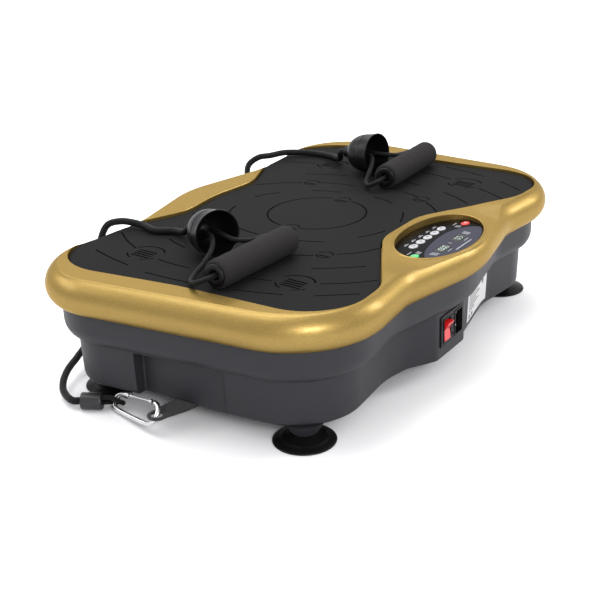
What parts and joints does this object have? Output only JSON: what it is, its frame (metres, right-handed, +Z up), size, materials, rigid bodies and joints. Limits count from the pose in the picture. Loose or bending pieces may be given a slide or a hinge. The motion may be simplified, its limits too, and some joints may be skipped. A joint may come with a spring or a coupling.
{
  "type": "vibration plate",
  "caption": "Oscillating exercise plate with a lobed gold cover, grooved mat, oval control panel, suction feet and elastic bands ending in foam handles.",
  "frame": {"origin": "on the ground, under the middle of the cover, on the axis the platform rocks about", "axes": "+X along the plate to the right as seen from the control panel, -Y to the panel and the mains inlet, +Z up"},
  "size_m": [0.566, 0.3945, 0.1849],
  "materials": {
    "gold_cover": "satin gold metallic paint",
    "mat_rubber": "matt, moulded grooves",
    "housing": "fine grain",
    "black_gloss": "gloss",
    "black_satin": "satin",
    "button_white": "satin",
    "button_green": "satin",
    "button_red": "satin",
    "rocker_red": "gloss",
    "display": "gloss",
    "foot_rubber": "smooth",
    "band_rubber": "smooth",
    "foam": "fine-celled foam",
    "webbing": "woven",
    "zinc": "zinc plated",
    "steel": "black paint",
    "bright_steel": "turned",
    "board": "solder mask"
  },
  "bodies": {
    "base": {"lower_housing": "housing", "base_plate": "steel", "foot_1": "foot_rubber", "foot_2": "foot_rubber", "foot_3": "foot_rubber", "foot_4": "foot_rubber", "inlet_module": "black_gloss", "inlet_pins": "zinc", "pivot_shaft": "bright_steel", "pivot_bracket_front": "steel", "pivot_bracket_rear": "steel", "bearing_block_left": "steel", "bearing_block_right": "steel", "drive_belt": "band_rubber", "motor_body": "steel", "motor_cradle": "steel", "power_board": "board", "anchor_tab_left": "webbing", "anchor_tab_right": "webbing", "snap_hook_left": "zinc", "snap_hook_right": "zinc", "band_end_left": "band_rubber", "band_end_right": "band_rubber", "band_cord_left": "band_rubber", "band_cord_right": "band_rubber"},
    "platform": {"top_cover": "gold_cover", "mat": "mat_rubber", "deck_plate": "steel", "control_face": "black_gloss", "time_window": "display", "speed_window": "display", "control_board": "board", "pivot_lug_front": "steel", "pivot_lug_rear": "steel", "drive_arm_left": "steel", "drive_arm_right": "steel"},
    "shaft": {"drive_shaft": "bright_steel", "driven_pulley": "bright_steel"},
    "rotor": {"motor_pulley": "bright_steel"},
    "rocker": {"rocker_switch": "rocker_red"},
    "drawer": {"fuse_drawer": "black_gloss"},
    "gate_left": {"hook_gate_left": "zinc"},
    "gate_right": {"hook_gate_right": "zinc"},
    "mode_1": {"mode_button_1": "button_white"},
    "mode_2": {"mode_button_2": "button_white"},
    "mode_3": {"mode_button_3": "button_white"},
    "mode_4": {"mode_button_4": "button_white"},
    "mode_5": {"mode_button_5": "button_white"},
    "start": {"start_button": "button_green"},
    "stop": {"stop_button": "button_red"},
    "handle_left": {"handle_cup_left": "black_satin", "handle_tube_left": "black_satin", "handle_grip_left": "foam", "handle_loop_left": "band_rubber"},
    "handle_right": {"handle_cup_right": "black_satin", "handle_tube_right": "black_satin", "handle_grip_right": "foam", "handle_loop_right": "band_rubber"}
  },
  "joints": [
    {"name": "platform_rock", "type": "hinge", "parent": "base", "child": "platform", "pos_m": [0, 0, 0.092], "axis": [0, 1, 0], "range_deg": [-0.8, 0.8], "stiffness_Nm_per_rad": 6000},
    {"name": "drive_shaft_turn", "type": "hinge", "parent": "base", "child": "shaft", "pos_m": [0, 0.038, 0.062], "axis": [1, 0, 0], "continuous": true},
    {"name": "motor_turn", "type": "hinge", "parent": "base", "child": "rotor", "pos_m": [0.044, -0.052, 0.066], "axis": [1, 0, 0], "continuous": true},
    {"name": "rocker_flip", "type": "hinge", "parent": "base", "child": "rocker", "pos_m": [-0.0295, -0.1636, 0.0515], "axis": [1, 0, 0], "range_deg": [-22, 0]},
    {"name": "fuse_drawer_pull", "type": "slide", "parent": "base", "child": "drawer", "axis": [0, -1, 0], "range_m": [0, 0.018]},
    {"name": "hook_gate_left_open", "type": "hinge", "parent": "base", "child": "gate_left", "pos_m": [-0.26195, 0.02175, 0.02577], "axis": [-0.736, 0.2732, 0.6194], "range_deg": [0, 20], "stiffness_Nm_per_rad": 0.02, "springref_deg": -8.59},
    {"name": "hook_gate_right_open", "type": "hinge", "parent": "base", "child": "gate_right", "pos_m": [0.26195, 0.02175, 0.02577], "axis": [-0.736, -0.2732, -0.6194], "range_deg": [0, 20], "stiffness_Nm_per_rad": 0.02, "springref_deg": -8.59},
    {"name": "mode_1_press", "type": "slide", "parent": "platform", "child": "mode_1", "axis": [0, 0, -1], "range_m": [0, 0.0006], "stiffness_N_per_m": 800, "springref_m": -0.001},
    {"name": "mode_2_press", "type": "slide", "parent": "platform", "child": "mode_2", "axis": [0, 0, -1], "range_m": [0, 0.0006], "stiffness_N_per_m": 800, "springref_m": -0.001},
    {"name": "mode_3_press", "type": "slide", "parent": "platform", "child": "mode_3", "axis": [0, 0, -1], "range_m": [0, 0.0006], "stiffness_N_per_m": 800, "springref_m": -0.001},
    {"name": "mode_4_press", "type": "slide", "parent": "platform", "child": "mode_4", "axis": [0, 0, -1], "range_m": [0, 0.0006], "stiffness_N_per_m": 800, "springref_m": -0.001},
    {"name": "mode_5_press", "type": "slide", "parent": "platform", "child": "mode_5", "axis": [0, 0, -1], "range_m": [0, 0.0006], "stiffness_N_per_m": 800, "springref_m": -0.001},
    {"name": "start_press", "type": "slide", "parent": "platform", "child": "start", "axis": [0, 0, -1], "range_m": [0, 0.0006], "stiffness_N_per_m": 800, "springref_m": -0.001},
    {"name": "stop_press", "type": "slide", "parent": "platform", "child": "stop", "axis": [0, 0, -1], "range_m": [0, 0.0006], "stiffness_N_per_m": 800, "springref_m": -0.001},
    {"name": "handle_left_lift", "type": "slide", "parent": "platform", "child": "handle_left", "axis": [0, 0, 1], "range_m": [0, 0.3], "deforming": ["band_cord_left"]},
    {"name": "handle_right_lift", "type": "slide", "parent": "platform", "child": "handle_right", "axis": [0, 0, 1], "range_m": [0, 0.3], "deforming": ["band_cord_right"]}
  ],
  "couplings": [
    {"joint": "motor_turn", "follows": "drive_shaft_turn", "ratio": 2.5}
  ]
}
